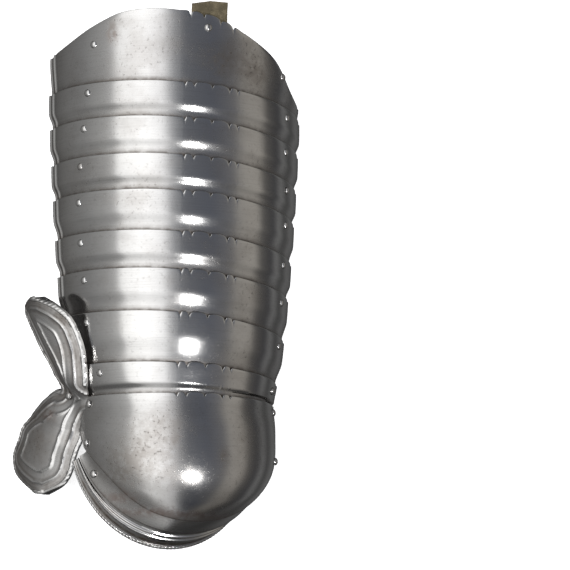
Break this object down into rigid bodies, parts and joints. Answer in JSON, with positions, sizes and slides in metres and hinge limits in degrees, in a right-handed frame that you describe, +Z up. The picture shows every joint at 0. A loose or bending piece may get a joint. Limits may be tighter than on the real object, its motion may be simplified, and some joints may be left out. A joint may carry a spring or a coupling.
{
  "type": "articulated cuisse with poleyn",
  "caption": "Articulated thigh defence of overlapping steel lames on side rivets, ending in a knee piece with a heart-shaped side wing.",
  "frame": {"origin": "centre of the bounding box's bottom face, with the piece laid on its open back", "axes": "+Y up the thigh towards the hip, +Z up, +X towards the leg's inner side"},
  "size_m": [0.2296, 0.4242, 0.1167],
  "materials": {
    "plate_steel": "polished, worn",
    "rivet_steel": "polished, worn",
    "strap_leather": "matt, aged"
  },
  "bodies": {
    "knee": {"knee_plate": "plate_steel", "wing_rivet": "rivet_steel", "rivet_9_outer": "rivet_steel", "rivet_9_inner": "rivet_steel", "knee_rivet_1_outer": "rivet_steel", "knee_rivet_1_inner": "rivet_steel"},
    "top": {"thigh_top_plate": "plate_steel", "top_rivet_outer": "rivet_steel", "top_rivet_inner": "rivet_steel", "strap_rivet": "rivet_steel", "hanging_strap": "strap_leather"},
    "lame_1": {"thigh_lame_1": "plate_steel", "rivet_1_outer": "rivet_steel", "rivet_1_inner": "rivet_steel"},
    "lame_2": {"thigh_lame_2": "plate_steel", "rivet_2_outer": "rivet_steel", "rivet_2_inner": "rivet_steel"},
    "lame_3": {"thigh_lame_3": "plate_steel", "rivet_3_outer": "rivet_steel", "rivet_3_inner": "rivet_steel"},
    "lame_4": {"thigh_lame_4": "plate_steel", "rivet_4_outer": "rivet_steel", "rivet_4_inner": "rivet_steel"},
    "lame_5": {"thigh_lame_5": "plate_steel", "rivet_5_outer": "rivet_steel", "rivet_5_inner": "rivet_steel"},
    "lame_6": {"thigh_lame_6": "plate_steel", "rivet_6_outer": "rivet_steel", "rivet_6_inner": "rivet_steel"},
    "lame_7": {"thigh_lame_7": "plate_steel", "rivet_7_outer": "rivet_steel", "rivet_7_inner": "rivet_steel"},
    "lame_8": {"thigh_lame_8": "plate_steel", "rivet_8_outer": "rivet_steel", "rivet_8_inner": "rivet_steel"},
    "knee_lame_1": {"knee_lame_1": "plate_steel", "knee_rivet_2_outer": "rivet_steel", "knee_rivet_2_inner": "rivet_steel"},
    "knee_lame_2": {"knee_lame_2": "plate_steel"}
  },
  "joints": [
    {"name": "hinge_9", "type": "hinge", "parent": "knee", "child": "lame_8", "pos_m": [0.02167, -0.10127, 0.0452], "axis": [0.9568, -0.0139, -0.2905], "range_deg": [-3, 3]},
    {"name": "hinge_8", "type": "hinge", "parent": "lame_8", "child": "lame_7", "pos_m": [0.02618, -0.08181, 0.05655], "axis": [0.9388, -0.0597, -0.3393], "range_deg": [-3, 3]},
    {"name": "hinge_7", "type": "hinge", "parent": "lame_7", "child": "lame_6", "pos_m": [0.02333, -0.04427, 0.05759], "axis": [0.9574, -0.0827, -0.2769], "range_deg": [-3, 3]},
    {"name": "hinge_6", "type": "hinge", "parent": "lame_6", "child": "lame_5", "pos_m": [0.02327, -0.01086, 0.06159], "axis": [0.965, -0.0742, -0.2516], "range_deg": [-3, 3]},
    {"name": "hinge_5", "type": "hinge", "parent": "lame_5", "child": "lame_4", "pos_m": [0.02257, 0.01856, 0.06402], "axis": [0.9713, -0.0711, -0.2268], "range_deg": [-3, 3]},
    {"name": "hinge_4", "type": "hinge", "parent": "lame_4", "child": "lame_3", "pos_m": [0.02262, 0.05031, 0.06621], "axis": [0.9735, -0.069, -0.218], "range_deg": [-3, 3]},
    {"name": "hinge_3", "type": "hinge", "parent": "lame_3", "child": "lame_2", "pos_m": [0.02376, 0.07815, 0.06918], "axis": [0.9717, -0.0715, -0.2252], "range_deg": [-3, 3]},
    {"name": "hinge_2", "type": "hinge", "parent": "lame_2", "child": "lame_1", "pos_m": [0.02459, 0.10764, 0.0741], "axis": [0.9715, -0.0698, -0.2267], "range_deg": [-3, 3]},
    {"name": "hinge_1", "type": "hinge", "parent": "lame_1", "child": "top", "pos_m": [0.02659, 0.1354, 0.07663], "axis": [0.9652, -0.0697, -0.2521], "range_deg": [-3, 3]},
    {"name": "knee_hinge_1", "type": "hinge", "parent": "knee", "child": "knee_lame_1", "pos_m": [0.02176, -0.13633, 0.04909], "axis": [0.9678, -0.0735, -0.2407], "range_deg": [-2, 4]},
    {"name": "knee_hinge_2", "type": "hinge", "parent": "knee_lame_1", "child": "knee_lame_2", "pos_m": [0.01795, -0.1601, 0.04859], "axis": [0.9495, -0.0753, -0.3047], "range_deg": [-2, 4]}
  ]
}
